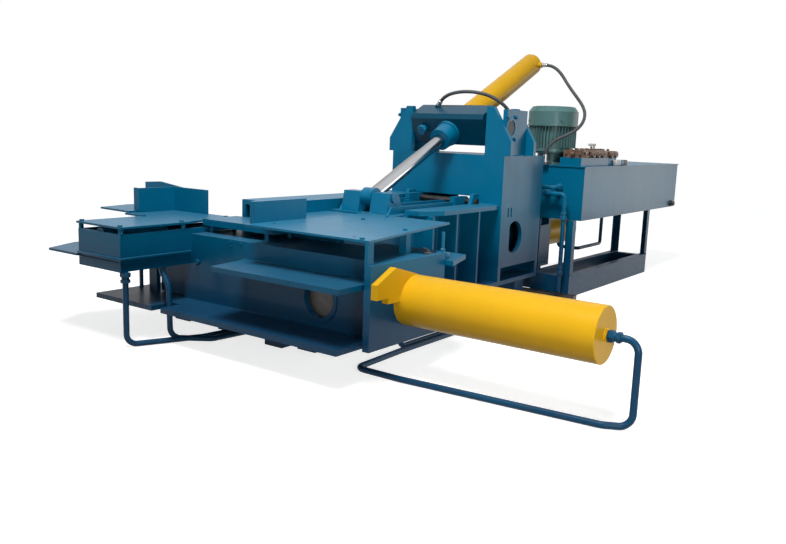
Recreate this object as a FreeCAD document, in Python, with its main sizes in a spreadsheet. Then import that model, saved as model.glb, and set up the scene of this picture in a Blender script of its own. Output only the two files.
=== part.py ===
import FreeCAD, Part
import math
import os
import re
import Sketcher
from types import SimpleNamespace
from FreeCAD import Placement, Rotation, Vector

# Horizontal hydraulic baler for scrap metal.  A main ram presses along -Y, a side ram
# along -X, and the bale leaves to the left past a sliding gate.  A lid, moved by a
# trunnion-mounted cylinder, closes the charging box in front of the tower.
# Origin: on the floor, below the crossing of the two ram axes.  +X points to the free
# end of the side cylinder, +Y to the power pack, +Z up.  Millimetres.

DIMENSIONS = {
    # main frame
    "frame_bottom": 190, "plate": 30, "frame_top": 628, "left_end": -1050, "sill_left": -1130,
    "sill_right": 845, "sill_front": -495, "channel_half": 175, "chamber_half": 270,
    "end_plate_x": 880, "end_plate_thick": 41, "end_half": 336,
    "flange_z": 498, "flange_thick": 28, "flange_left": -108, "flange_right": 859,
    "sight_x": 475, "sight_z": 380, "sight_hole": 205,
    "rim_left": -560, "rim_right": 470, "rim_left_top": 820, "rim_right_top": 783,
    "rib_thick": 20, "rib_pitch": 290, "cover_z": 740, "cover_thick": 12,
    # tower
    "tower_front": 1750, "tower_rear": 2390, "tower_left": -500, "tower_right": 490,
    "tower_plate": 40, "tower_top": 1140, "ear_top": 1485, "ear_chamfer_z": 1240,
    "ear_half": 537, "ear_flat": 382, "notch_half": 325, "ear_rear": 2110, "skirt_z": 320,
    "mouth_top": 835, "tail_rear": 3010, "tail_half": 300, "tail_top": 545,
    # rams and their cylinders
    "press_axis_z": 416, "ram_bottom": 224, "ram_top": 594, "ram_gap": 4,
    "main_ram_face": 1700, "main_ram_rear": 2180, "side_ram_face": 280, "side_ram_rear": 860,
    "barrel_od": 273, "barrel_id": 220, "press_rod": 140, "flange_deep": 38, "side_end_x": 2000,
    "main_head_y": 2220, "main_end_y": 3950, "gland_od": 230,
    # lid and its cylinder
    "trunnion_y": 1860, "trunnion_z": 1338, "lid_slope": 25.4, "pin_reach": 1134,
    "lid_barrel_od": 180, "lid_barrel_id": 160, "lid_barrel_tail": 1345, "lid_rod": 90,
    "yoke_half": 315, "yoke_deep": 220, "yoke_top": 140, "yoke_under": 95, "journal": 110,
    "collar_reach": 239, "port_side": -150, "port_back": 48, "port_lift": 152.4, "port_lean": 40,
    "hinge_y": 1700, "hinge_z": 795, "lid_front": 735, "lid_top": 750, "lid_pin": 50,
    # gate
    "gate_left": -900, "gate_right": -640, "housing_left": -966, "housing_right": -569,
    "housing_front": -710, "housing_low": 445, "housing_high": 680, "gate_barrel_od": 86,
    "gate_axis_z": 640, "gate_rod": 40,
    # power pack
    "tank_left": 110, "tank_right": 720, "tank_front": 2666, "tank_rear": 5050,
    "tank_low": 631, "tank_high": 1056, "tank_wall": 6, "stand_right": 675, "stand_left": 330,
    "stand_front": 2620, "stand_rear": 4450, "stand_beam": 184,
    "motor_x": 308, "motor_y": 2900, "motor_base": 1170, "motor_fins_top": 1400,
    "motor_top": 1535, "motor_radius": 205,
    "pipe_od": 34, "pipe_bend": 60, "hose_od": 26,
}

doc = FreeCAD.newDocument("recycling_baler")
sheet = doc.addObject("Spreadsheet::Sheet", "dims")
for row, (alias, value) in enumerate(DIMENSIONS.items(), 1):
    sheet.set(f"A{row}", alias)
    sheet.set(f"B{row}", str(value))
    sheet.setAlias(f"B{row}", alias)
doc.recompute()
d = SimpleNamespace(**{alias: float(sheet.get(alias)) for alias in DIMENSIONS})

SUB_PARTS = []
TURN_TO = {
    "+x": Rotation(Vector(0, 1, 0), 90), "-x": Rotation(Vector(0, 1, 0), -90),
    "+y": Rotation(Vector(1, 0, 0), -90), "-y": Rotation(Vector(1, 0, 0), 90),
    "+z": Rotation(), "-z": Rotation(Vector(1, 0, 0), 180),
    "lid": Rotation(Vector(1, 0, 0), 90 + d.lid_slope),
}


def bind(item, name, text):
    """Bind one property of a document object to an expression in sheet cells."""
    item.setExpression(name, re.sub(r"[a-z][a-z_]+", lambda word: "dims." + word.group(), str(text)))


def keep(label, item):
    """Make an object a sub-part: its label names its file."""
    item.Label = label
    SUB_PARTS.append(item)
    return item


def place(item, at, direction="+z"):
    """Turn an object so that its Z axis points in a direction, and bind its base point."""
    item.Placement = Placement(Vector(), TURN_TO[direction])
    for axis, text in zip("xyz", at):
        bind(item, "Placement.Base." + axis, text)
    return item


def box(x, y, z):
    """A block between two expressions on each axis."""
    block = doc.addObject("Part::Box", "block")
    for size, (low, high) in zip(("Length", "Width", "Height"), (x, y, z)):
        bind(block, size, f"({high}) - ({low})")
    return place(block, (x[0], y[0], z[0]))


def cylinder(at, direction, length, diameter):
    """A round bar from a point along a direction."""
    bar = doc.addObject("Part::Cylinder", "bar")
    bind(bar, "Radius", f"({diameter}) / 2")
    bind(bar, "Height", length)
    return place(bar, at, direction)


def fuse(*pieces):
    union = doc.addObject("Part::MultiFuse", "union")
    union.Shapes = list(pieces)
    return union


def cut(base, *tools):
    result = doc.addObject("Part::Cut", "cut")
    result.Base = base
    result.Tool = tools[0] if len(tools) == 1 else fuse(*tools)
    return result


def group(*pieces):
    """Identical separate solids that share one node."""
    bundle = doc.addObject("Part::Compound", "bundle")
    bundle.Links = list(pieces)
    return bundle


def sketch_on(body, plane):
    origin = [item for item in body.Origin.OriginFeatures if item.Role == plane][0]
    sketch = body.newObject("Sketcher::SketchObject", "profile")
    sketch.AttachmentSupport = [(origin, "")]
    sketch.MapMode = "FlatFace"
    return sketch


def add_outline(sketch, corners):
    """A closed outline whose corners are pairs of expressions measured from the origin."""
    first = sketch.GeometryCount
    count = len(corners)
    rough = [Vector(10.0 * math.cos(k * 6.28 / count), 10.0 * math.sin(k * 6.28 / count), 0)
             for k in range(count)]
    for k in range(count):
        sketch.addGeometry(Part.LineSegment(rough[k], rough[(k + 1) % count]), False)
    for k in range(count):
        after = first + (k + 1) % count
        sketch.addConstraint(Sketcher.Constraint("Coincident", first + k, 2, after, 1))
    for k, corner in enumerate(corners):
        for kind, text in zip(("DistanceX", "DistanceY"), corner):
            number = sketch.addConstraint(Sketcher.Constraint(kind, -1, 1, first + k, 1, 10.0))
            bind(sketch, f"Constraints[{number}]", text)


def add_circle(sketch, x, y, diameter):
    number = sketch.addGeometry(Part.Circle(Vector(5, 5, 0), Vector(0, 0, 1), 3), False)
    for kind, text in (("DistanceX", x), ("DistanceY", y)):
        constraint = sketch.addConstraint(Sketcher.Constraint(kind, -1, 1, number, 3, 5.0))
        bind(sketch, f"Constraints[{constraint}]", text)
    constraint = sketch.addConstraint(Sketcher.Constraint("Radius", number, 3.0))
    bind(sketch, f"Constraints[{constraint}]", f"({diameter}) / 2")


PLANES = {"x": "YZ_Plane", "y": "XZ_Plane", "z": "XY_Plane"}


def plate(axis, low, high, corners, holes=()):
    """A flat plate with a drawn outline, thick from low to high along one axis."""
    body = doc.addObject("PartDesign::Body", "plate")
    sketch = sketch_on(body, PLANES[axis])
    add_outline(sketch, corners)
    for hole in holes:
        add_circle(sketch, *hole)
    pad = body.newObject("PartDesign::Pad", "thickness")
    pad.Profile = sketch
    bind(pad, "Length", f"({high}) - ({low})")
    pad.Reversed = axis == "y"
    bind(body, "Placement.Base." + axis, low)
    return body


def turned(at, direction, profile):
    """A turned piece: (radius, length along the axis) corners revolved round the axis."""
    body = doc.addObject("PartDesign::Body", "turned")
    sketch = sketch_on(body, "XZ_Plane")
    add_outline(sketch, profile)
    revolution = body.newObject("PartDesign::Revolution", "revolution")
    revolution.Profile = sketch
    revolution.ReferenceAxis = (sketch, ["V_Axis"])
    revolution.Angle = 360
    return place(body, at, direction)


def bent_tube(points, radius, bend=None):
    """A round tube on straight runs joined by tangent arcs; returns shape, length, radii."""
    points = [Vector(*point) for point in points]
    edges, bends, start = [], [], points[0]
    for before, corner, after in zip(points, points[1:], points[2:]):
        into = (corner - before).normalize()
        out = (after - corner).normalize()
        half_turn = into.getAngle(out) / 2
        run = min((corner - before).Length, (after - corner).Length)
        arc = bend or 0.45 * run / math.tan(half_turn)
        reach = arc * math.tan(half_turn)
        first, last = corner - into * reach, corner + out * reach
        middle = corner + (out - into).normalize() * (arc / math.cos(half_turn) - arc)
        edges += [Part.LineSegment(start, first).toShape(), Part.Arc(first, middle, last).toShape()]
        bends.append(arc)
        start = last
    edges.append(Part.LineSegment(start, points[-1]).toShape())
    path = Part.Wire(edges)
    circle = Part.Wire(Part.makeCircle(radius, points[0], points[1] - points[0]))
    return path.makePipe(Part.Face(circle)), path.Length, bends


def feature(shape):
    item = doc.addObject("Part::Feature", "shape")
    item.Shape = shape
    return item


# ---------------------------------------------------------------- main frame
def build_frame():
    keep("base_plate", plate("z", "frame_bottom", "frame_bottom + plate", [
        ("sill_left", "sill_front"), (-582, "sill_front"), (-582, -350), (-498, -350),
        (-498, "sill_front"), ("sill_right", "sill_front"),
        ("sill_right", "channel_half + plate"), ("tower_right", "channel_half + plate"),
        ("tower_right", "tower_rear"), ("tail_half", "tower_rear"), ("tail_half", "tail_rear"),
        ("-tail_half", "tail_rear"), ("-tail_half", "tower_rear"), ("rim_left", "tower_rear"),
        ("rim_left", "channel_half + plate"), ("sill_left", "channel_half + plate")]))
    feet = []
    for x, y in ((-900, 60), (-480, 60), (-480, 1200), (-480, 2250), (-230, 2880), (190, 2880),
                 (370, 1200), (370, 2200), (210, 60), (0, 0)):
        feet.append(box((x - 70, x + 70), (y - 70, y + 70), (0, "frame_bottom")))
    keep("frame_feet", group(*feet))

    walls = ("frame_bottom + plate", "frame_top")
    front = ("-channel_half - plate", "-channel_half")
    rear = ("channel_half", "channel_half + plate")
    wall = plate("y", *front, [
        ("gate_right + 5", walls[0]), ("end_plate_x", walls[0]), ("end_plate_x", walls[1]),
        ("gate_right + 5", walls[1])], [("sight_x", "sight_z", "sight_hole")])
    ring = cut(cylinder(("sight_x", "-channel_half - plate - 8", "sight_z"), "+y", 8, "sight_hole + 50"),
               cylinder(("sight_x", "-channel_half - plate - 9", "sight_z"), "+y", 12, "sight_hole"))
    ledge = plate("z", "flange_z", "flange_z + flange_thick", [
        ("flange_left", "-channel_half - plate"), ("flange_left + 60", "sill_front - 10"),
        ("flange_right", "sill_front - 10"), ("flange_right", "-channel_half - plate")])
    keep("front_beam", fuse(wall, ring, ledge))
    post = ("frame_bottom + plate", 690)
    keep("outlet_walls", group(
        box((-982, "gate_left - 5"), front, walls),
        box(("left_end", "-chamber_half - plate"), rear, walls),
        box((-1090, -1074), (-202, -182), post), box((-1110, -1080), (176, 204), post)))
    keep("side_ram_guide", fuse(
        box(("gate_right + 5", "end_plate_x"), ("-channel_half", "channel_half"),
            ("frame_top - plate", "frame_top")),
        box(("chamber_half + plate", "end_plate_x"), rear, walls),
        plate("z", "frame_top - 68", "frame_top - 40", [
            ("chamber_half + plate", "channel_half + plate"), ("end_plate_x - 2", "channel_half + plate"),
            ("end_plate_x - 2", "end_half + 2"), (970, 345), (884, 620), ("chamber_half + plate", 620)])))
    keep("corner_roof", fuse(
        box(("-chamber_half", "chamber_half"), rear, ("ram_top + 4", "cover_z")),
        box(("-chamber_half", "chamber_half"), ("channel_half + plate", "lid_front - 10"),
            ("cover_z - plate", "cover_z"))))
    keep("end_plate", plate("x", "end_plate_x", "end_plate_x + end_plate_thick", [
        ("-end_half", "frame_bottom"), ("end_half", "frame_bottom"), ("end_half", "frame_top"),
        ("-end_half", "frame_top")], [(0, "press_axis_z", "gland_od + 0.2")]))


def hinge_cheek(low, high, foot):
    """The upright lug on a chamber wall that carries one end of the lid's hinge shaft."""
    return plate("x", low, high, [
        ("hinge_y - 60", foot), ("tower_front", foot), ("tower_front", "hinge_z + 60"),
        ("hinge_y - 30", "hinge_z + 60")])


def build_charging_box():
    depth = ("channel_half + plate", "tower_front")
    low = "frame_bottom + plate"
    rim = "rim_right_top - plate"
    ribs = []
    for number in range(2, 5):
        start = f"330 + {number} * rib_pitch"
        ribs.append(box(("chamber_half + plate", "rim_right - 14"), (start, start + " + rib_thick"),
                        (low, rim)))
    bore = "lid_pin + 0.1"
    keep("charging_box_right", cut(fuse(
        box(("chamber_half", "chamber_half + plate"), depth, (low, "cover_z")),
        box(("chamber_half", "chamber_half + plate"), (850, "tower_front"), ("cover_z", rim)),
        plate("z", rim, "rim_right_top", [
            ("chamber_half", 850), ("rim_right - 90", 850), ("rim_right", 1020),
            ("rim_right", "tower_front"), ("chamber_half", "tower_front")]),
        hinge_cheek("chamber_half", "chamber_half + plate", "rim_right_top"), *ribs),
        cylinder(("chamber_half - 1", "hinge_y", "hinge_z"), "+x", "plate + 20", bore)))
    keep("charging_box_left", cut(fuse(
        box(("-chamber_half - plate", "-chamber_half"), depth, (low, "rim_left_top")),
        box(("rim_left", "rim_left + plate"), depth, (low, "rim_left_top")),
        box(("rim_left", "-chamber_half"), depth, ("rim_left_top - plate", "rim_left_top")),
        hinge_cheek("-chamber_half - plate", "-chamber_half", "rim_left_top - 20")),
        cylinder(("-chamber_half + 1", "hinge_y", "hinge_z"), "-x", "plate + 20", bore)))


# ---------------------------------------------------------------- tower
def build_tower():
    low = "frame_bottom + plate"
    outline = [("tower_left", low), ("-chamber_half", low), ("-chamber_half", "mouth_top"),
               ("chamber_half", "mouth_top"), ("chamber_half", low), ("tower_right", low)]
    ears = [("ear_half", "tower_top"), ("ear_half", "ear_chamfer_z"), ("ear_flat", "ear_top"),
            ("notch_half", "ear_top"), ("notch_half", "tower_top"), ("-notch_half", "tower_top"),
            ("-notch_half", "ear_top"), ("-ear_flat", "ear_top"), ("-ear_half", "ear_chamfer_z"),
            ("-ear_half", "tower_top")]
    keep("tower_front_plate", plate("y", "tower_front", "tower_front + tower_plate", outline + [
        ("tower_right", "tower_top - 1")] + ears + [("tower_left", "tower_top - 1")]))
    keep("tower_rear_plate", plate("y", "tower_rear - tower_plate", "tower_rear", outline + [
        ("tower_right", "tower_top - plate"), ("tower_left", "tower_top - plate")]))
    inside = ("tower_front + tower_plate", "tower_rear - tower_plate")
    keep("tower_deck", box(("tower_left", "tower_right"), (inside[0], "tower_rear"),
                           ("tower_top - plate", "tower_top")))
    side = [(inside[0], "skirt_z"), (inside[1], "skirt_z"), (inside[1], "tower_top - plate"),
            (inside[0], "tower_top - plate")]
    slots = [box(("tower_right - 60", "tower_right + 1"), (f"1850 + {k} * 46", f"1868 + {k} * 46"),
                 (690, 760)) for k in range(2)]
    window = cut(cylinder(("tower_right - 60", 1975, 537), "+x", 70, 240),
                 box(("tower_right - 60", "tower_right + 10"), (1840, 1895), (400, 700)))
    keep("tower_sides", group(
        box(("chamber_half", "chamber_half + plate"), inside, (low, "ram_top + 60")),
        box(("-chamber_half - plate", "-chamber_half"), inside, (low, "ram_top + 60")),
        cut(plate("x", "tower_right - plate", "tower_right", side), window, *slots),
        plate("x", "tower_left", "tower_left + plate", side)))
    hole = [("trunnion_y", "trunnion_z", "journal + 14")]
    bearing = [(inside[0], "tower_top"), ("ear_rear", "tower_top"), ("ear_rear", "ear_top - 15"),
               (inside[0], "ear_top - 15")]
    stands = []
    for sign, start, end in (("", 440, 470), ("-", -470, -440)):
        stands.append(fuse(plate("x", start, end, bearing, hole), plate(
            "y", "ear_rear", "ear_rear + tower_plate", [
                (sign + "notch_half", "tower_top"), (sign + "ear_half", "tower_top"),
                (sign + "ear_half", "ear_chamfer_z"), (sign + "ear_flat", "ear_top"),
                (sign + "notch_half", "ear_top")])))
    keep("trunnion_stands", group(*stands))
    bushes = []
    for start, direction in ((425, "+x"), (-425, "-x")):
        bushes.append(turned((start, "trunnion_y", "trunnion_z"), direction, [
            ("journal / 2 + 0.05", 0), ("journal / 2 + 13", 0), ("journal / 2 + 13", 15),
            ("journal / 2 + 7", 15), ("journal / 2 + 7", 45), ("journal / 2 + 0.05", 45)]))
    keep("trunnion_bushes", group(*bushes))


def build_tail():
    low = "frame_bottom + plate"
    sides = [box((start, end), ("tower_rear", "tail_rear - 40"), (low, "tail_top"))
             for start, end in (("tail_half - plate", "tail_half"), ("-tail_half", "plate - tail_half"))]
    keep("tail_frame", fuse(*sides, plate("y", "tail_rear - 40", "tail_rear", [
        ("-tail_half", low), ("tail_half", low), ("tail_half", "tail_top + 55"),
        ("-tail_half", "tail_top + 55")],
        [(0, "press_axis_z", "barrel_od + 0.4")])))


# ---------------------------------------------------------------- rams and cylinders
def press_cylinder(name, at, direction, length, mounting, port):
    """A welded press cylinder: gland nose, mounting plate, honed barrel, end cap and ports."""
    outer, inner = "barrel_od / 2", "barrel_id / 2"
    nose = "end_plate_thick"
    shell = turned(at, direction, [
        ("press_rod / 2 + 0.05", 0), ("gland_od / 2", 0), ("gland_od / 2", nose), (outer, nose),
        (outer, f"{length} - 3"), ("barrel_od / 2 - 3", length), (27, length), (27, f"{length} + 12"),
        (0, f"{length} + 12"), (0, f"{length} - 50"), (inner, f"{length} - 50"), (inner, 60),
        ("press_rod / 2 + 0.05", 60)])
    keep(name + "_barrel", fuse(shell, mounting, cylinder(port[0], port[1], 45, 54)))


def press_rod(name, at, direction, length):
    keep(name + "_rod", turned(at, direction, [
        (0, 0), ("press_rod / 2", 0), ("press_rod / 2", f"{length} - 90"),
        ("barrel_id / 2 - 0.3", f"{length} - 90"), ("barrel_id / 2 - 0.3", length), (0, length)]))


def build_rams():
    tall = ("ram_bottom", "ram_top")
    wide = ("ram_gap - chamber_half", "chamber_half - ram_gap")
    hollow = ("ram_bottom + 40", "ram_top - 40")
    keep("main_ram", cut(
        box(wide, ("main_ram_face", "main_ram_rear"), tall),
        box(("40 + ram_gap - chamber_half", "chamber_half - ram_gap - 40"),
            ("main_ram_face + 60", "main_ram_rear - 40"), hollow)))
    deep = ("ram_gap - channel_half", "channel_half - ram_gap")
    keep("side_ram", cut(
        box(("side_ram_face", "side_ram_rear"), deep, tall),
        box(("side_ram_face + 60", "side_ram_rear - 40"),
            ("40 + ram_gap - channel_half", "channel_half - ram_gap - 40"), hollow)))
    axis = (0, "main_head_y", "press_axis_z")
    flange = cut(cylinder((0, "tail_rear", "press_axis_z"), "+y", "flange_deep", 390),
                 cylinder((0, "tail_rear - 1", "press_axis_z"), "+y", "flange_deep + 2", 250))
    press_cylinder("main", axis, "+y", "main_end_y - main_head_y", flange,
                   ((0, 2560, "press_axis_z + barrel_od / 2 - 12"), "+z"))
    press_rod("main", (0, "main_ram_rear", "press_axis_z"), "+y", "main_end_y - main_ram_rear - 70")
    axis = ("end_plate_x", 0, "press_axis_z")
    face = "end_plate_x + end_plate_thick"
    wing = cut(plate("x", face, face + " + flange_deep", [
        (-331, 461), (-331, 537), (-176, 609), (0, 560), (60, 540), (60, 430), (-236, 430),
        (-236, 461)]),
        cylinder((face + " - 1", 0, "press_axis_z"), "+x", "flange_deep + 2", 250))
    press_cylinder("side", axis, "+x", "side_end_x - end_plate_x", wing,
                   ((1010, "barrel_od / 2 - 12", "press_axis_z"), "+y"))
    press_rod("side", ("side_ram_rear", 0, "press_axis_z"), "+x", "side_end_x - side_ram_rear - 60")


# ---------------------------------------------------------------- lid
def along_lid(distance, sideways=0.0, lift=0.0):
    """A point on the lid cylinder's axis, counted from the trunnion towards the rod end."""
    slope = math.radians(d.lid_slope)
    return (sideways, d.trunnion_y - distance * math.cos(slope) - lift * math.sin(slope),
            d.trunnion_z - distance * math.sin(slope) + lift * math.cos(slope))


def build_lid():
    pin = along_lid(d.pin_reach)
    ribs = []
    for x in (-200, 60, 200):
        ribs.append(plate("x", x - 10, x + 10, [
            ("lid_front + 20", "lid_top"), ("hinge_y - 20", "lid_top"), ("hinge_y - 60", "lid_top + 50"),
            ("lid_front + 60", "lid_top + 50")]))
    for x in (-220, 180):
        ribs.append(cut(fuse(
            box((x, x + 40), ("hinge_y - 160", "hinge_y"), ("lid_top", "hinge_z + 40")),
            cylinder((x, "hinge_y", "hinge_z"), "+x", 40, 80)),
            cylinder((x - 1, "hinge_y", "hinge_z"), "+x", 42, "lid_pin + 0.1")))
    for y in (960, 1240, 1480):
        ribs.append(box((-190, 50), (y, y + 16), ("lid_top", "lid_top + 40")))
    for x in (-190, 48):
        ribs.append(plate("x", x, x + 142, [
            (pin[1] - 75, "lid_top"), (pin[1] + 110, "lid_top"), (pin[1] + 50, pin[2] + 34),
            (pin[1] - 50, pin[2] + 34)]))
    leaf = box(("ram_gap - chamber_half", "chamber_half - ram_gap"), ("lid_front", "hinge_y - 10"),
               ("lid_top - plate", "lid_top"))
    caps = [cylinder((start, pin[1], pin[2]), direction, 12, 60)
            for start, direction in ((190, "+x"), (-190, "-x"))]
    keep("lid", fuse(leaf, *ribs, *caps))
    keep("lid_hinge_shaft", cylinder(("-chamber_half - plate - 15", "hinge_y", "hinge_z"), "+x",
                                     "2 * (chamber_half + plate + 15)", "lid_pin"))


def build_lid_cylinder():
    tail = tuple(along_lid(-d.lid_barrel_tail))
    outer, inner = "lid_barrel_od / 2", "lid_barrel_id / 2"
    length = "lid_barrel_tail - yoke_deep / 2"
    port = along_lid(60 - d.lid_barrel_tail)
    keep("lid_barrel", fuse(turned(tail, "lid", [
        (0, 0), (58, 0), (80, 12), (outer, 35), (outer, length), (inner, length), (inner, 45), (0, 45)]),
        cylinder((82, port[1], port[2]), "+x", 33, 44)))
    yoke = doc.addObject("Part::Feature", "yoke")
    half, deep, under = d.yoke_half, d.yoke_deep, d.yoke_under
    shape = Part.makeBox(2 * half, d.yoke_top + under, deep, Vector(-half, -under, -deep / 2))
    rims = [edge for edge in shape.Edges
            if abs(edge.tangentAt(0).x) > 0.9 and edge.CenterOfMass.y > 0]
    shape = shape.makeChamfer(28, rims)
    shape = shape.fuse(Part.makeCylinder(d.journal / 2, 2 * half + 310, Vector(-half - 155, 0, 0),
                                         Vector(1, 0, 0)))
    lean = math.radians(d.port_lean)
    aim = Vector(math.sin(lean), math.cos(lean), 0)
    mouth = Vector(d.port_side, d.port_lift, -d.port_back)
    shape = shape.fuse(Part.makeCylinder(20, 45, mouth - aim * 46.4, aim))
    shape = shape.cut(Part.makeCylinder(d.lid_barrel_id / 2, deep + 20, Vector(0, 0, -deep / 2 - 10)))
    yoke.Shape = shape.removeSplitter()
    keep("trunnion_yoke", place(yoke, (0, "trunnion_y", "trunnion_z"), "lid"))
    front = tuple(along_lid(d.yoke_deep / 2))
    keep("lid_gland", turned(front, "lid", [
        ("lid_rod / 2 + 0.05", 0), (96, 0), (96, 26), (88, 26), (82, "collar_reach - yoke_deep / 2"),
        ("lid_rod / 2 + 0.05", "collar_reach - yoke_deep / 2")]))
    keep("lid_rod", fuse(
        turned(tuple(along_lid(-60)), "lid", [
            (0, 0), ("lid_barrel_id / 2 - 0.3", 0), ("lid_barrel_id / 2 - 0.3", 70),
            ("lid_rod / 2", 70), ("lid_rod / 2", "pin_reach + 60 - 30"), (0, "pin_reach + 60 - 30")]),
        cylinder((-44, along_lid(d.pin_reach)[1], along_lid(d.pin_reach)[2]), "+x", 88, 120)))


# ---------------------------------------------------------------- gate
def build_gate():
    wall = ("-channel_half - plate", "-channel_half")
    keep("gate", fuse(
        cut(box(("gate_left", "gate_right"), (-174, 174), ("ram_bottom", "ram_top")),
            box(("gate_left + 30", "gate_right - 30"), (-144, 144), ("ram_bottom + 30", "ram_top - 30"))),
        box((-800, -740), (130, 170), ("ram_top", "gate_axis_z + 36"))))
    keep("gate_rod", turned((-770, 130, "gate_axis_z"), "-y", [
        (0, 0), ("gate_rod / 2", 0), ("gate_rod / 2", 420), ("gate_barrel_od / 2 - 8.2", 420),
        ("gate_barrel_od / 2 - 8.2", 440), (0, 440)]))
    keep("gate_barrel", turned((-770, "housing_front + 15", "gate_axis_z"), "+y", [
        (0, 0), ("gate_barrel_od / 2", 0), ("gate_barrel_od / 2", 440), ("gate_rod / 2 + 0.05", 440),
        ("gate_rod / 2 + 0.05", 406), ("gate_barrel_od / 2 - 8", 406), ("gate_barrel_od / 2 - 8", 20),
        (0, 20)]))
    sides = []
    for start, end in (("housing_left", "housing_left + 15"), ("housing_right - 15", "housing_right")):
        sides.append(plate("x", start, end, [
            ("housing_front", "housing_low"), (wall[0], "housing_low"), (wall[0], "frame_top + 2"),
            (135, "frame_top + 2"), (135, "housing_high - 20"), ("housing_front", "housing_high - 20")]))
    sides.append(box(("housing_left + 15", "housing_right - 15"), ("housing_front", "housing_front + 15"),
                     ("housing_low", "housing_high - 20")))
    for start, end in (("housing_left + 15", "gate_left - 4"), ("gate_right + 4", "housing_right - 15")):
        sides.append(box((start, end), ("housing_front + 15", wall[0]), ("flange_z", 540)))
    sides.append(plate("z", "flange_z", "flange_z + 14", [
        ("housing_left", "housing_front - 15"), ("housing_left", "-channel_half - plate - 1"),
        (-1300, "-channel_half - plate - 1"), (-1388, -469), (-1261, "housing_front - 15")]))
    keep("gate_housing", fuse(*sides))


def hex_heads(spots, direction, across, height):
    """Bolt heads seen from outside, one separate solid at each spot."""
    heads = []
    for spot in spots:
        head = doc.addObject("Part::Prism", "head")
        head.Polygon = 6
        head.Circumradius = across / math.sqrt(3)
        head.Height = height
        heads.append(place(head, spot, direction))
    return heads


def build_bolts():
    turns = [(k + 0.5) * math.pi / 4 for k in range(8)]
    keep("flange_bolts", group(*hex_heads(
        [(170 * math.cos(turn), d.tail_rear + d.flange_deep, d.press_axis_z + 170 * math.sin(turn))
         for turn in turns], "+y", 36, 15)))
    keep("cover_bolts", group(*hex_heads(
        [(x, y, 702) for x, y in ((-958, -690), (-590, -690), (-590, -260), (-958, -260), (-620, 120))]
        + [(x, y, d.cover_z + d.cover_thick) for x, y in ((840, -310), (760, 170), (285, 400), (285, 640))],
        "+z", 24, 10)))


def build_covers():
    keep("left_cover", fuse(
        plate("z", 690, 702, [
            (-985, -710), (-560, -710), (-560, "-channel_half - plate"), (-582, "-channel_half - plate"),
            (-582, 175), (-1190, 175), (-1190, -230), (-985, -230)]),
        plate("z", 702, 714, [
            (-1173, -215), (-1500, -200), (-1560, 60), (-1480, 200), (-1173, 200)]),
        plate("z", 702, 714, [(-1190, -215), (-1173, -215), (-1173, 175), (-1190, 175)])))
    keep("cover_spacers", group(*[
        cylinder((x, y, low), "+z", 690 - low if low > 650 else 44, 28)
        for x, y, low in ((-958, -695, 660), (-577, -695, 660), (-577, -260, 660), (-958, -260, 660),
                          (-540, -70, 628), (-60, -70, 628), (-540, 120, 628), (-60, 120, 628))]))
    keep("corner_table", box((-578, 18), (-105, 175), (672, 712)))
    keep("right_cover", fuse(
        plate("z", "cover_z", "cover_z + cover_thick", [
            (35, -335), (905, -335), (703, 715), (35, 715)],
            [(110, -180, 22), (150, 20, 22), (760, -270, 22), (330, 560, 22)]),
        box(("end_plate_x", "end_plate_x + 20"), ("-end_half", "46 - end_half"), ("frame_top", "cover_z")),
        box((740, 784), (150, 194), ("frame_top", "cover_z"))))
    keep("end_fences", group(
        fuse(box((-1161, -1149), (-150, 147), (702, 862)), box((-1149, -817), (135, 147), (702, 862)),
             box((-1204, -1149), (-150, -138), (714, 862))),
        plate("y", 155, 167, [(-1490, 714), (-1490, 874), (-1326, 886), (-1000, 850), (-1000, 702),
                              (-1149, 702), (-1149, 714)])))
    keep("corner_fence", cut(box((0, 35), (-263, 165), (731, 872)),
                             box((8, 27), (-255, 157), (730, 864))))


# ---------------------------------------------------------------- power pack
def build_stand():
    beams = []
    for x, toward in (("stand_left", 1), ("stand_right", -1)):
        side = sorted((0, toward * 60))
        web = sorted((0, toward * 10))
        beams.append(cut(
            box((f"{x} + {side[0]}", f"{x} + {side[1]}"), ("stand_front", "stand_rear"), (0, "stand_beam")),
            box((f"{x} + {side[0]} - 1 + {web[1]}", f"{x} + {side[1]} + 1 + {web[0]}"),
                ("stand_front - 1", "stand_rear + 1"), (10, "stand_beam - 10"))))
    for y in ("stand_front", "stand_rear - 60"):
        beams.append(box(("stand_left + 5", "stand_right - 5"), (y, y + " + 60"), (10, "stand_beam - 10")))
    legs = []
    for x, flange in (("stand_left", 8), ("stand_right - 60", 52)):
        for y, back in (("stand_front", 8), ("stand_rear - 60", 52)):
            corner = box((x, x + " + 60"), (y, y + " + 60"), ("stand_beam", "tank_low"))
            hollow = box((f"{x} + {8 if flange == 8 else -1}", f"{x} + {61 if flange == 8 else 52}"),
                         (f"{y} + {8 if back == 8 else -1}", f"{y} + {61 if back == 8 else 52}"),
                         ("stand_beam - 1", "tank_low + 1"))
            legs.append(cut(corner, hollow))
    keep("tank_stand", fuse(*beams, *legs))


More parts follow.
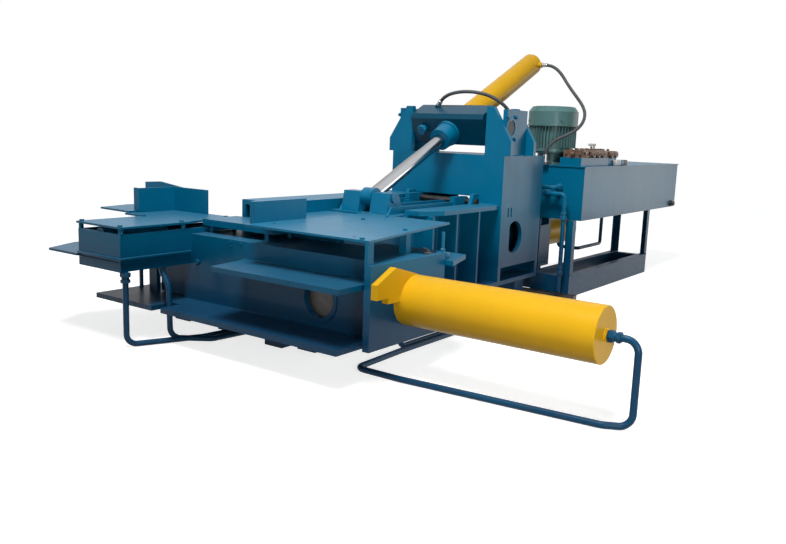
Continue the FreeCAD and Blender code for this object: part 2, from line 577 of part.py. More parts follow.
def build_tank():
    wall = "tank_wall"
    keep("oil_tank", cut(
        box(("tank_left", "tank_right"), ("tank_front", "tank_rear"), ("tank_low", "tank_high")),
        box(("tank_left + " + wall, "tank_right - " + wall), ("tank_front + " + wall, "tank_rear - " + wall),
            ("tank_low + " + wall, "tank_high + 1"))))
    keep("tank_lid", fuse(
        box(("tank_left - 10", "tank_right + 10"), ("tank_front - 10", "tank_rear + 10"),
                         ("tank_high", "tank_high + 8")),
        box((490, 674), (2690, 3260), ("tank_high + 8", "tank_high + 74"))))
    plug = turned(("tank_right", 4930, 665), "+x", [
        (0, 0), (30, 0), (30, 18), (20, 18), (20, 40), (0, 40)])
    cap = turned((560, 3420, "tank_high + 8"), "+z", [
        (0, 0), (38, 0), (38, 14), (50, 14), (50, 38), (42, 44), (0, 44)])
    keep("tank_fittings", group(plug, cap))


def build_motor():
    at = ("motor_x", "motor_y", "tank_high + 8")
    keep("bell_housing", turned(at, "+z", [
        (70, 0), (150, 0), (150, 14), (112, 20), (112, "motor_base - tank_high - 28"),
        (175, "motor_base - tank_high - 22"), (175, "motor_base - tank_high - 8"),
        (70, "motor_base - tank_high - 8")]))
    base = ("motor_x", "motor_y", "motor_base")
    frame = Part.makeCylinder(168, d.motor_fins_top - d.motor_base).cut(
        Part.makeCylinder(128, d.motor_fins_top - d.motor_base - 40, Vector(0, 0, 20)))
    fins = []
    count = 44
    for number in range(count):
        fin = Part.makeBox(38, 5, d.motor_fins_top - d.motor_base - 50, Vector(160, -2.5, 30))
        fins.append(fin.rotate(Vector(), Vector(0, 0, 1), number * 360 / count) or fin)
    shape = frame.fuse(fins + [Part.makeCylinder(185, 22), Part.makeBox(
        130, 60, 120, Vector(-65, 180, 60))])
    shape = shape.cut(Part.makeCylinder(24.1, 600, Vector(0, 0, -50)))
    keep("motor_frame", place(feature(shape), base))
    crown = "motor_top - motor_fins_top"
    keep("fan_cover", turned(("motor_x", "motor_y", "motor_fins_top"), "+z", [
        ("motor_radius - 3", -25), ("motor_radius", -25), ("motor_radius", crown + " - 40"),
        ("motor_radius - 30", crown), (0, crown), (0, crown + " - 3"), ("motor_radius - 32", crown + " - 3"),
        ("motor_radius - 3", crown + " - 41")]))
    blades = [Part.makeBox(120, 6, 50, Vector(30, -3, 0)) for _ in range(7)]
    for number, blade in enumerate(blades):
        blade.rotate(Vector(), Vector(0, 0, 1), number * 360 / 7)
    fan = Part.makeCylinder(45, 54).fuse(blades).cut(Part.makeCylinder(20, 60, Vector(0, 0, -1)))
    keep("cooling_fan", place(feature(fan), ("motor_x", "motor_y", "motor_fins_top + 14")))
    keep("motor_shaft", turned(("motor_x", "motor_y", "motor_base - 90"), "+z", [
        (0, 0), (55, 0), (55, 70), (24, 70), (24, 130), (120, 130), (120, 250), (20, 250), (20, 370),
        (0, 370)]))


def build_valve():
    low, high = d.tank_high + 74, d.tank_high + 134
    body = Part.makeBox(170, 520, high - low, Vector(505, 2715, low))
    for number in range(4):
        body = body.cut(Part.makeBox(200, 6, 20, Vector(500, 2715 + 104 * (number + 1) - 3, high - 8)))
    bores = [Part.makeCylinder(12.05, 180, Vector(500, 2767 + 104 * k, low + 28), Vector(1, 0, 0))
             for k in range(1, 4)]
    caps = [turned((675, 2767 + 104 * k, low + 28), "+x", [
        (14, 0), (27, 0), (27, 26), (22, 34), (14, 34)]) for k in range(1, 4)]
    keep("valve_block", fuse(feature(body.cut(bores)), *caps))
    for k, name in ((1, "lid"), (2, "main"), (3, "side")):
        y = 2767 + 104 * k
        keep("spool_" + name, turned((525, y, low + 28), "+x", [(0, 0), (12, 0), (12, 140), (0, 140)]))


def build_pipes():
    level = 20
    tidy = 2440
    keep("floor_manifold", box((-380, 800), (tidy, 2500), (0, 60)))
    runs = {
        "gate_pipes": [
            [(-576, -672, 445), (-576, -672, level), (-409, -250, level), (-370, 300, level),
             (-345, 2300, level), (-345, tidy, level)],
            [(-605, -400, 498), (-605, -400, 420), (-540, -400, 330), (-530, -400, level),
             (-330, -250, level), (-290, 300, level),
             (-275, 2300, level), (-275, tidy, level)]],
        "side_pipes": [
            [(2012, 0, 416), (2155, 0, 416), (2155, 0, level), (2036, -60, level),
             (968, -130, level), (680, -125, level), (655, 312, level), (640, 2300, level),
             (640, tidy, level)],
            [(1010, 170, 416), (1010, 380, 416), (600, 380, 416), (600, 380, level),
             (590, 2300, level), (590, tidy, level)]],
        "tank_pipes": [
            [(300, 2500, level), (300, 2570, level), (610, 2570, level), (610, 2570, 840),
             (420, 2570, 840), (420, "tank_front", 840)],
            [(520, "tank_front", 890), (520, 2560, 890), (0, 2560, 890), (0, 2560, 586)],
            [(200, 4420, "tank_low"), (200, 4420, 240), (200, 3860, 240), (0, 3860, 240), (0, 3860, 279.5)]],
    }
    for name, routes in runs.items():
        tubes = []
        for route in routes:
            points = [tuple(getattr(d, value) if isinstance(value, str) else value for value in point)
                      for point in route]
            bend = 34 if name == "tank_pipes" else d.pipe_bend
            tubes.append(feature(bent_tube(points, d.pipe_od / 2, bend)[0]))
        keep(name, group(*tubes))


def build_hoses():
    slope, lean = math.radians(d.lid_slope), math.radians(d.port_lean)
    aim = (math.sin(lean), -math.cos(lean) * math.sin(slope), math.cos(lean) * math.cos(slope))
    port = along_lid(-d.port_back, d.port_side, d.port_lift)
    front = [port, tuple(port[k] + 60 * aim[k] for k in range(3)),
             (-40, 1800, 1574), (38, 1806, 1592), (116, 1822, 1597), (196, 1844, 1590), (268, 1872, 1571),
             (328, 1905, 1538), (372, 1943, 1495), (396, 1979, 1443), (405, 2000, 1385),
             (405, 2012, 1325), (405, 2012, 1260)]
    tail = along_lid(60 - d.lid_barrel_tail, 115.4)
    rear = [tail, (178, tail[1], tail[2]), (243, 3026, 1862), (300, 3032, 1806), (352, 3022, 1738),
            (412, 3004, 1674), (478, 2976, 1612), (545, 2936, 1550), (596, 2882, 1484),
            (610, 2822, 1412), (584, 2762, 1350), (524, 2708, 1306), (452, 2668, 1268),
            (404, 2644, 1214), (385, 2636, 1150), (385, 2636, 1099.7)]
    for name, route in (("lid_hose_front", front), ("lid_hose_rear", rear)):
        shape, length, bends = bent_tube(route, d.hose_od / 2)
        keep(name, feature(shape))
        section = math.pi * d.hose_od ** 2 / 4
        print(name, "length", round(length), "volume ratio", round(shape.Volume / (section * length), 4),
              "radii", [round(bend) for bend in bends])
    keep("hose_fittings", group(
        turned((405, 2012, "tower_top"), "+z", [
            (0, 0), (32, 0), (32, 40), (24, 50), (24, 119.7), (0, 119.7)]),
        fuse(turned((385, 2636, 1070), "+z", [(0, 0), (24, 0), (24, 29.7), (0, 29.7)]),
             box((360, 410), (2612, 2700), (1064, 1085)))))


for build in (build_frame, build_charging_box, build_tower, build_tail, build_rams, build_lid,
              build_lid_cylinder, build_gate, build_covers, build_bolts, build_stand, build_tank, build_motor,
              build_valve, build_pipes, build_hoses):
    build()
doc.recompute()

for item in doc.Objects:
    if "Invalid" in item.State or "Error" in item.State:
        raise RuntimeError(f"{item.Name} in {[one.Label for one in item.InListRecursive]}: {item.State}")
for item in SUB_PARTS:
    if item.Shape.isNull() or not item.Shape.isValid() or not item.Shape.Solids:
        raise RuntimeError(f"{item.Label} has no valid shape")
os.makedirs("parts", exist_ok=True)
for item in SUB_PARTS:
    item.Shape.exportStep(f"parts/{item.Label}.step")
print(len(SUB_PARTS), "sub-parts")
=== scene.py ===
"""Finishes of a hydraulic scrap baler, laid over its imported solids.

Run as a script.  The frame supplies the solids; every operator below adds one group of
fittings or one set of finishes, in metres, on the axes of the solids: +X to the free end
of the side cylinder, +Y to the power pack, +Z up.
"""
import math
import random

import bmesh
import bpy
from bpy.props import FloatProperty, FloatVectorProperty, PointerProperty
from mathutils import Matrix, Vector


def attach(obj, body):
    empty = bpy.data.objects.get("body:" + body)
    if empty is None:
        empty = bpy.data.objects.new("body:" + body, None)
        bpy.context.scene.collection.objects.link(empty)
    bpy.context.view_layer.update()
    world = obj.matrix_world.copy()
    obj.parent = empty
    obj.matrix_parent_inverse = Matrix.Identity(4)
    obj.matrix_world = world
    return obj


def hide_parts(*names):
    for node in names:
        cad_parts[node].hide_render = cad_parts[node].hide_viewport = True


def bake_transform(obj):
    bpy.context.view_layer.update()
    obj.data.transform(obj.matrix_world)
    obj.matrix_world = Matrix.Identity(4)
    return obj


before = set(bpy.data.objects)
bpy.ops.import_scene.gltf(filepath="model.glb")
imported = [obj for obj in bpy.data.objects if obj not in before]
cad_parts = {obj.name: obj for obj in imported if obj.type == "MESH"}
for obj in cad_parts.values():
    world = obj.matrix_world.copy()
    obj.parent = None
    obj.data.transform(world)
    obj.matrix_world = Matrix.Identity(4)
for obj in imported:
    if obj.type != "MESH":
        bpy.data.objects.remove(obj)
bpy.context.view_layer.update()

bl_info = {
    "name": "Scrap baler finishes",
    "version": (1, 0, 0),
    "blender": (4, 5, 0),
    "location": "3D View > Sidebar > Baler",
    "description": "Paint, hoses, welds, bolts and fittings for a hydraulic scrap baler",
    "category": "Object",
}

PHOTO_WIDTH = 786
SENSOR_WIDTH = 36.0
TRUNNION = Vector((0.0, 1.860, 1.338))
LID_SLOPE = math.radians(25.4)
AXIS = Vector((0.0, -math.cos(LID_SLOPE), -math.sin(LID_SLOPE)))
OVER = Vector((0.0, -math.sin(LID_SLOPE), math.cos(LID_SLOPE)))
X_AXIS, Y_AXIS, Z_AXIS = Vector((1, 0, 0)), Vector((0, 1, 0)), Vector((0, 0, 1))

# Distances along the lid cylinder's axis, counted from the trunnion towards the rod end.
ROD_PIN, BARREL_TAIL, YOKE_PORT, BARREL_SHOULDER = 1.134, -1.285, -0.048, -0.111
NOZZLE_LEAN = math.radians(40.0)
MOTOR_CENTRE = Vector((0.308, 2.900, 0.0))
VALVE_TOP, VALVE_SIDE, VALVE_PORTS = 1.190, 0.675, 1.158
VALVE_FIRST, VALVE_PITCH, VALVE_SECTIONS = 2.767, 0.104, 4
VALVE_TIE_ROWS, VALVE_ENDS = (0.530, 0.590, 0.650), (2.715, 3.235)
# Painted shade: the trunnion yoke takes the frame enamel darkened to this share, for the shade on its
# downward-facing front.
PAINTED_SHADE_DEPTH = 0.36

# name, place, aim, size in metres, watts, tint, spread in degrees
LAMPS = (
    ("key", (1.2, -1.9, 6.8), (0.1, 1.2, 0.9), (2.2, 2.2), 535.0, (1.0, 0.985, 0.96), 180.0),
    ("fill", (4.6, -2.6, 1.3), (1.5, 0.1, 0.4), (1.6, 1.0), 11.0, (1.0, 0.98, 0.95), 50.0),
    ("sheen", (5.0, 9.3, 1.3), (0.6, 2.0, 0.7), (5.5, 3.0), 135.0, (1.0, 0.97, 0.93), 180.0),
)
FLOOR_SIZE = 60.0
FLOOR_TONE, FLOOR_BOUNCE = (0.60, 0.60, 0.60, 1.0), (0.12, 0.12, 0.12, 1.0)
FLOOR_GLOW_NEAR, FLOOR_GLOW_FAR, FLOOR_GLOW_CURVE = 0.74, 1.0, 8.0
SKY_TINT, SKY_SEEN = (0.90, 0.95, 1.0, 1.0), (1.0, 1.0, 1.0, 1.0)


# ------------------------------------------------------------------ values a user changes
def colour(name, description, default):
    return FloatVectorProperty(name=name, description=description, default=default, subtype="COLOR",
                               size=3, min=0.0, max=1.0)


def length(name, description, default):
    return FloatProperty(name=name, description=description, default=default, unit="LENGTH",
                         subtype="DISTANCE", min=0.0, precision=4)


class BalerColours(bpy.types.PropertyGroup):
    frame_paint: colour("Frame paint", "Deep blue enamel of the frame", (0.0, 0.158, 0.295))
    frame_shade: colour("Frame paint, worn coat", "The same enamel where it is thin or matt",
                        (0.0, 0.105, 0.212))
    barrel_paint: colour("Barrel paint", "Yellow enamel of the cylinders", (0.665, 0.372, 0.010))
    motor_paint: colour("Motor paint", "Grey-green enamel of the motor", (0.105, 0.225, 0.230))
    valve_primer: colour("Valve primer", "Brown primer of the valve bank", (0.175, 0.105, 0.072))
    bare_steel: colour("Bare steel", "Worn steel of the rams and pins", (0.12, 0.115, 0.11))
    chrome: colour("Chrome", "Hard chrome of the piston rods", (0.55, 0.56, 0.58))
    zinc: colour("Zinc", "Plating of bolts and hose ends", (0.50, 0.51, 0.53))
    hose_cover: colour("Hose cover", "Wrapped rubber of the hoses", (0.040, 0.043, 0.048))
    bronze: colour("Bearing bronze", "Bushes of the trunnions", (0.46, 0.29, 0.12))
    dust: colour("Dust", "Workshop dust that settles on level plates", (0.17, 0.215, 0.245))
    rust: colour("Rust", "Rust in bolt holes and on scuffed edges", (0.20, 0.065, 0.022))


class BalerSizes(bpy.types.PropertyGroup):
    hose: length("Hose", "Outside diameter of the pressure hoses", 0.026)
    pipe: length("Pipe", "Outside diameter of the steel pipes", 0.034)
    union: length("Pipe union", "Width across flats of a pipe union nut", 0.052)
    weld: length("Weld bead", "Radius of a fillet weld bead", 0.0055)
    ripple: length("Weld ripple", "Spacing of the ripples along a weld bead", 0.010)


class BalerStage(bpy.types.PropertyGroup):
    camera: FloatVectorProperty(name="Camera", description="Where the camera stands", size=3,
                                default=(3.270, -3.390, 1.275), subtype="XYZ", unit="LENGTH")
    yaw: FloatProperty(name="Yaw", description="Camera's turn to the left of +Y",
                       default=math.radians(35.96), subtype="ANGLE")
    pitch: FloatProperty(name="Pitch", description="Camera's dip below the horizon",
                         default=math.radians(9.86), subtype="ANGLE")
    roll: FloatProperty(name="Roll", description="Camera's roll", default=math.radians(-2.06),
                        subtype="ANGLE")
    focal_pixels: FloatProperty(name="Focal length in pixels", description="For the photo's width",
                                default=800.0)
    world: FloatProperty(name="World", description="Strength of the surrounding light", default=0.15)


# ------------------------------------------------------------------ shader arithmetic
class Field:
    """A shader socket that can stand in ordinary arithmetic."""

    def __init__(self, tree, socket):
        self.tree, self.socket = tree, socket

    def join(self, operation, first, second=0.0, clamp=False):
        node = self.tree.nodes.new("ShaderNodeMath")
        node.operation, node.use_clamp = operation, clamp
        for slot, value in zip(node.inputs, (first, second)):
            if isinstance(value, Field):
                self.tree.links.new(value.socket, slot)
            else:
                slot.default_value = value
        return Field(self.tree, node.outputs[0])

    def __add__(self, other):
        return self.join("ADD", self, other)

    def __sub__(self, other):
        return self.join("SUBTRACT", self, other)

    def __rsub__(self, other):
        return self.join("SUBTRACT", other, self)

    def __mul__(self, other):
        return self.join("MULTIPLY", self, other)

    def __pow__(self, other):
        return self.join("POWER", self, other)

    __radd__, __rmul__ = __add__, __mul__

    def clamped(self):
        return self.join("ADD", self, 0.0, clamp=True)

    def over(self, low, high):
        """0 below low, 1 above high, a straight ramp between."""
        return ((self - low) * (1.0 / (high - low))).clamped()


class Finish:
    """A Principled material under construction."""

    def __init__(self, name, **fixed):
        self.material = bpy.data.materials.new(name)
        self.material.use_nodes = True
        self.tree = self.material.node_tree
        self.shader = self.tree.nodes["Principled BSDF"]
        for socket, value in fixed.items():
            self.shader.inputs[socket.replace("_", " ")].default_value = value
        self.place = self.node("ShaderNodeTexCoord", output="Object")

    def feed(self, socket, value):
        if isinstance(value, Field):
            self.tree.links.new(value.socket, socket)
        elif isinstance(value, (tuple, list)) and len(value) == 3 and socket.type == "RGBA":
            socket.default_value = (*value, 1.0)
        else:
            socket.default_value = value

    def node(self, kind, settings=None, sockets=None, output=0):
        node = self.tree.nodes.new(kind)
        for name, value in (settings or {}).items():
            setattr(node, name, value)
        for name, value in (sockets or {}).items():
            self.feed(node.inputs[name], value)
        return Field(self.tree, node.outputs[output])

    def noise(self, scale, detail=3.0, stretch=None, roughness=0.55):
        place = self.place
        if stretch:
            place = self.node("ShaderNodeMapping", {"vector_type": "POINT"},
                              {"Vector": place, "Scale": stretch})
        return self.node("ShaderNodeTexNoise", None,
                         {"Vector": place, "Scale": scale, "Detail": detail, "Roughness": roughness})

    def mixed(self, factor, low, high):
        return self.node("ShaderNodeMix", {"data_type": "RGBA"}, {0: factor, 6: low, 7: high}, output=2)

    def upward(self):
        """1 on level faces that look up, 0 on walls."""
        normal = self.node("ShaderNodeNewGeometry", output="Normal")
        return self.node("ShaderNodeSeparateXYZ", None, {0: normal}, output="Z").over(0.55, 0.95)

    def height(self):
        return self.node("ShaderNodeSeparateXYZ", None, {0: self.place}, output="Z")

    def bump(self, value, distance, strength=1.0):
        normal = self.node("ShaderNodeBump", None,
                           {"Height": value, "Distance": distance, "Strength": strength})
        self.feed(self.shader.inputs["Normal"], normal)

    def link(self, **values):
        for name, value in values.items():
            self.feed(self.shader.inputs[name.replace("_", " ")], value)
        return self.material


def enamel(name, paint, thin, dust, roughness=0.38, dusty=0.24, chips=0.70, under=(0.05, 0.045, 0.04),
           shine=0.13, low_shade=0.80):
    """Sprayed machine enamel: soft changes of tone, orange peel, dust on level faces, small chips, and
    painted shade that darkens the coat towards the bottom.
    """
    finish = Finish(name, Specular_IOR_Level=shine, Coat_Roughness=0.12, IOR=1.5)
    cloud = finish.noise(1.6, 4.0)
    streak = finish.noise(3.0, 5.0, (4.0, 4.0, 0.6))
    peel = finish.noise(330.0, 2.0)
    grain = finish.noise(48.0, 5.0)
    coat = finish.mixed((cloud * 0.7 + streak * 0.5 - 0.15).clamped(), paint, thin)
    level = finish.upward() * (0.35 + cloud * 0.9 + grain * 0.3 - 0.35).clamped() * dusty
    coat = finish.mixed(level, coat, dust)
    # Painted shade: below 0.76 m the coat darkens towards navy, most at the foot, for the shade that falls
    # on the lower frame.
    low = (1.0 - finish.height().over(0.36, 0.76)) * (cloud * 0.5 + 0.75) * low_shade
    coat = finish.mixed(low.clamped(), coat, (0.0, 0.020, 0.064))
    splash = (1.0 - finish.height().over(0.0, 0.34)) * grain.over(0.45, 0.75) * 0.45
    coat = finish.mixed(splash, coat, (0.045, 0.042, 0.036))
    chip = finish.noise(26.0, 6.0, roughness=0.68).over(chips, chips + 0.015)
    coat = finish.mixed(chip, coat, under)
    rough = roughness + level * 0.35 + splash * 0.4 + chip * 0.2 + (streak - 0.5) * 0.07
    finish.bump(peel * 0.10 + cloud * 0.9 - chip * 0.25, 0.0016, 0.45)
    return finish.link(Base_Color=coat, Roughness=rough.clamped(),
                       Coat_Weight=((1.0 - level - splash) * 0.08).clamped())


def chrome_rod(name, tone, stretch):
    """Hard chrome, polished round the rod, with faint draw marks along its travel, and a painted dark
    reflection towards its outline.
    """
    finish = Finish(name, Metallic=1.0)
    marks = finish.noise(30.0, 4.0, stretch)
    film = finish.noise(5.0, 3.0)
    shade = finish.mixed((film * 0.8 - 0.1).clamped(), tone, tuple(value * 0.80 for value in tone))
    # Painted reflection: the colour darkens to near black where the surface turns away from view, for the
    # dark surroundings the rod mirrors at its edges.
    rim = finish.node("ShaderNodeLayerWeight", output="Facing").over(0.30, 0.85)
    shade = finish.mixed(rim * 0.85, shade, (0.07, 0.072, 0.075))
    finish.bump(marks, 0.0004, 0.25)
    return finish.link(Base_Color=shade, Roughness=0.10 + marks * 0.10 + film * 0.06)


def worn_steel(name, tone, rust, rusty=0.5, roughness=0.42):
    """Mill steel rubbed bright by scrap, with brown rust in the quiet places."""
    finish = Finish(name, Metallic=0.9)
    cloud = finish.noise(4.5, 6.0, roughness=0.65)
    scratch = finish.noise(22.0, 5.0, (1.0, 9.0, 1.0))
    mask = (cloud.over(0.50, 0.70) * rusty).clamped()
    shade = finish.mixed(scratch, tone, tuple(value * 0.55 for value in tone))
    finish.bump(scratch * 0.6 + cloud, 0.0015, 0.5)
    return finish.link(Base_Color=finish.mixed(mask, shade, rust), Metallic=0.95 - mask * 0.7,
                       Roughness=(roughness + mask * 0.35 + scratch * 0.12).clamped())


def primed_casting(name, tone, rust):
    """Sand-cast iron under brown primer, oily in the hollows."""
    finish = Finish(name, Specular_IOR_Level=0.45)
    sand = finish.noise(260.0, 3.0)
    oil = finish.noise(17.0, 5.0, roughness=0.7)
    shade = finish.mixed(oil.over(0.42, 0.62), tone, tuple(value * 0.42 for value in tone))
    shade = finish.mixed(finish.noise(34.0, 4.0).over(0.60, 0.70) * 0.6, shade, rust)
    finish.bump(sand * 0.5 + oil * 0.6, 0.0016, 0.6)
    return finish.link(Base_Color=shade, Roughness=(0.62 - oil.over(0.42, 0.62) * 0.28).clamped())


def plated(name, tone, oily=0.35):
    """Zinc plating, greyed by handling and oil."""
    finish = Finish(name, Metallic=1.0)
    film = finish.noise(60.0, 4.0)
    shade = finish.mixed((film * oily).clamped(), tone, (0.11, 0.10, 0.085))
    finish.bump(finish.noise(420.0, 2.0), 0.0004, 0.3)
    return finish.link(Base_Color=shade, Roughness=0.26 + film * 0.28)


def rubber(name, tone, dust, wraps=0.0):
    """Black rubber, greyed by dust, with the cloth wrap that a cured hose cover keeps."""
    finish = Finish(name, Specular_IOR_Level=0.4)
    film = finish.noise(11.0, 4.0)
    cloth = finish.noise(650.0, 2.0)
    shade = finish.mixed((film.over(0.35, 0.85) * 0.30 + finish.upward() * 0.16).clamped(), tone, dust)
    finish.bump(cloth * (0.5 + wraps), 0.0006, 0.6)
    return finish.link(Base_Color=shade, Roughness=0.46 + film * 0.22)


FINISHES = {}


def make_finishes(colours):
    paint, thin, dust, rust = (tuple(getattr(colours, name)) for name in
                               ("frame_paint", "frame_shade", "dust", "rust"))
    yellow = tuple(colours.barrel_paint)
    motor = tuple(colours.motor_paint)
    FINISHES.update(
        frame=enamel("frame_enamel", paint, thin, dust),
        # painted shade: a darker copy of the frame enamel, for the trunnion yoke in shade
        navy=enamel("navy_enamel", tuple(value * PAINTED_SHADE_DEPTH for value in paint),
                    tuple(value * PAINTED_SHADE_DEPTH for value in thin), dust, dusty=0.08),
        barrel=enamel("barrel_enamel", yellow, tuple(value * 0.86 for value in yellow), dust, 0.36, 0.02,
                      0.72, (0.25, 0.12, 0.03), 0.06, 0.0),
        motor=enamel("motor_enamel", motor, tuple(value * 0.72 for value in motor), dust, 0.40, 0.30, 0.74),
        chrome_lid=chrome_rod("chrome_lid_rod", tuple(colours.chrome), (1.0, 0.12, 0.3)),
        chrome_x=chrome_rod("chrome_side_rod", tuple(colours.chrome), (0.1, 1.0, 1.0)),
        chrome_y=chrome_rod("chrome_main_rod", tuple(colours.chrome), (1.0, 0.1, 1.0)),
        worn=worn_steel("scoured_steel", tuple(colours.bare_steel), rust, 0.12, 0.50),
        pin=worn_steel("pin_steel", tuple(value * 0.7 for value in colours.bare_steel), rust, 0.25, 0.34),
        casting=primed_casting("primed_casting", tuple(colours.valve_primer), rust),
        zinc=plated("zinc_plate", tuple(colours.zinc)),
        bronze=worn_steel("bearing_bronze", tuple(colours.bronze), (0.12, 0.07, 0.03), 0.35, 0.30),
        hose=rubber("hose_cover", tuple(colours.hose_cover), dust, 0.5),
        seal=rubber("seal_rubber", (0.018, 0.018, 0.020), dust),
        fan=rubber("fan_plastic", (0.05, 0.055, 0.055), dust),
        white=rubber("white_plastic", (0.72, 0.73, 0.72), (0.6, 0.6, 0.6)),
    )


NODE_FINISH = {
    # painted shade: the yoke wears the darker copy of the frame enamel
    "navy": ("trunnion_yoke",),
    "barrel": ("main_barrel", "side_barrel", "lid_barrel"),
    "chrome_lid": ("lid_rod",),
    "chrome_x": ("side_rod",),
    "chrome_y": ("main_rod", "gate_rod"),
    "worn": ("main_ram", "side_ram"),
    "pin": ("lid_hinge_shaft", "motor_shaft", "spool_lid", "spool_main", "spool_side", "tank_fittings",
            "floor_manifold"),
    "zinc": ("flange_bolts", "hose_fittings"),
    "casting": ("valve_block",),
    "motor": ("motor_frame", "bell_housing", "fan_cover"),
    "fan": ("cooling_fan",),
    "bronze": ("trunnion_bushes",),
    "hose": ("lid_hose_front", "lid_hose_rear"),
}


# ------------------------------------------------------------------ mesh building
def towards(direction):
    """The rotation that turns +Z to a direction."""
    return Z_AXIS.rotation_difference(Vector(direction)).to_matrix().to_4x4()


class Piece:
    """One mesh, built with bmesh operators in the object's own axes."""

    def __init__(self, name):
        self.name = name
        self.bm = bmesh.new()

    def bar(self, start, end, radius, sides=24, end_radius=None):
        start, end = Vector(start), Vector(end)
        matrix = Matrix.Translation((start + end) / 2) @ towards(end - start)
        bmesh.ops.create_cone(self.bm, cap_ends=True, segments=sides, radius1=radius,
                              radius2=radius if end_radius is None else end_radius,
                              depth=(end - start).length, matrix=matrix)

    def block(self, low, high, edge=0.0, turn=None, about=None):
        """A block between two corners, with broken edges, turned about a point if asked."""
        low, high = Vector(low), Vector(high)
        size = high - low
        matrix = Matrix.Translation((low + high) / 2) @ Matrix.Diagonal((*size, 1.0))
        verts = bmesh.ops.create_cube(self.bm, size=1.0, matrix=matrix)["verts"]
        if edge:
            edges = {one for vert in verts for one in vert.link_edges}
            made = bmesh.ops.bevel(self.bm, geom=list(edges), offset=edge, offset_type="OFFSET",
                                   segments=2, profile=0.5, affect="EDGES", material=-1)
            verts = made["verts"]
        if turn is not None:
            bmesh.ops.transform(self.bm, verts=list(set(verts)), space=Matrix.Translation(-Vector(about)),
                                matrix=turn)

    def hexagon(self, at, direction, across, high):
        """A hexagon nut or bolt head with its corners chamfered."""
        at, direction = Vector(at), Vector(direction).normalized()
        corner = across / math.sqrt(3)
        self.bar(at, at + direction * high * 0.82, corner, 6)
        self.bar(at + direction * high * 0.82, at + direction * high, corner, 6, corner * 0.84)

    def bolt(self, at, direction, across, stud=0.0):
        """A bolt head or nut on its washer; with a stud, the bolt's end stands out."""
        at, direction = Vector(at), Vector(direction).normalized()
        washer = across * 0.11
        self.bar(at, at + direction * washer, across * 0.64, 20)
        self.hexagon(at + direction * washer, direction, across, across * 0.62)
        if stud:
            foot = at + direction * (washer + across * 0.62)
            self.thread(foot, foot + direction * stud, across * 0.31)

    def thread(self, start, end, radius, pitch=0.003):
        start, end = Vector(start), Vector(end)
        count = max(2, round((end - start).length / pitch))
        step = (end - start) / count
        for number in range(count):
            foot = start + step * number
            self.bar(foot, foot + step * 0.55, radius * 0.88, 12, radius)
            self.bar(foot + step * 0.55, foot + step, radius, 12, radius * 0.88)

    def spun(self, at, direction, profile, steps=32, closed=False):
        """A turned shape from (radius, height) points, measured along a direction."""
        matrix = Matrix.Translation(Vector(at)) @ towards(direction)
        verts = [self.bm.verts.new((radius, 0.0, high)) for radius, high in profile]
        pairs = list(zip(verts, verts[1:])) + ([(verts[-1], verts[0])] if closed else [])
        edges = [self.bm.edges.new(pair) for pair in pairs]
        before = set(self.bm.faces)
        bmesh.ops.spin(self.bm, geom=verts + edges, cent=(0, 0, 0), axis=(0, 0, 1), dvec=(0, 0, 0),
                       angle=math.tau, steps=steps, use_merge=True, use_duplicate=False)
        faces = [face for face in self.bm.faces if face not in before]
        moved = list({vert for face in faces for vert in face.verts})
        bmesh.ops.transform(self.bm, verts=moved, matrix=matrix, space=Matrix())
        bmesh.ops.remove_doubles(self.bm, verts=moved, dist=1e-6)

    def ring(self, at, direction, inner, outer, high, steps=32):
        self.spun(at, direction, [(inner, 0), (outer, 0), (outer, high), (inner, high)], steps, True)

    def bead(self, points, radius, ripple, closed=False, seed=1):
        """A ripple-faced weld bead along straight or curved runs."""
        rng = random.Random(seed)
        points = [Vector(point) for point in points]
        if closed:
            points.append(points[0])
        for start, end in zip(points, points[1:]):
            count = max(1, round((end - start).length / ripple))
            step = (end - start) / count
            for number in range(count):
                foot = start + step * number
                size = radius * rng.uniform(0.88, 1.08)
                self.bar(foot - step * 0.25, foot + step * 0.9, size, 7, size * 0.72)

    def round_bead(self, centre, direction, circle, radius, ripple, seed=1):
        matrix = Matrix.Translation(Vector(centre)) @ towards(direction)
        count = max(12, round(math.tau * circle / ripple))
        self.bead([matrix @ Vector((circle * math.cos(k * math.tau / count),
                                    circle * math.sin(k * math.tau / count), 0)) for k in range(count)],
                  radius, ripple, closed=True, seed=seed)

    def done(self, finish, body, slot, sharp=32.0):
        """Makes the object, gives it its finish and lets it ride on its body, if it has one."""
        bmesh.ops.recalc_face_normals(self.bm, faces=self.bm.faces[:])
        mesh = bpy.data.meshes.new(self.name)
        for face in self.bm.faces:
            face.smooth = True
        self.bm.to_mesh(mesh)
        self.bm.free()
        mesh.set_sharp_from_angle(angle=math.radians(sharp))
        mesh.materials.append(FINISHES[finish])
        made = bpy.data.objects.new(self.name, mesh)
        bpy.context.collection.objects.link(made)
        if body:
            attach(made, body)
        return made


def along_lid(distance, sideways=0.0, lift=0.0):
    """A point counted from the trunnion towards the lid cylinder's rod end."""
    return TRUNNION + AXIS * distance + X_AXIS * sideways + OVER * lift


# ------------------------------------------------------------------ operators
class BALER_OT_finishes(bpy.types.Operator):
    """Makes the finishes and gives one to every solid of the frame"""
    bl_idname = "baler.finishes"
    bl_label = "Finishes"

    def execute(self, context):
        make_finishes(context.scene.baler_colours)
        finish_of = {node: finish for finish, nodes in NODE_FINISH.items() for node in nodes}
        for node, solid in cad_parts.items():
            material = FINISHES[finish_of.get(node, "frame")]
            for slot in solid.material_slots:
                slot.material = material
        return {"FINISHED"}


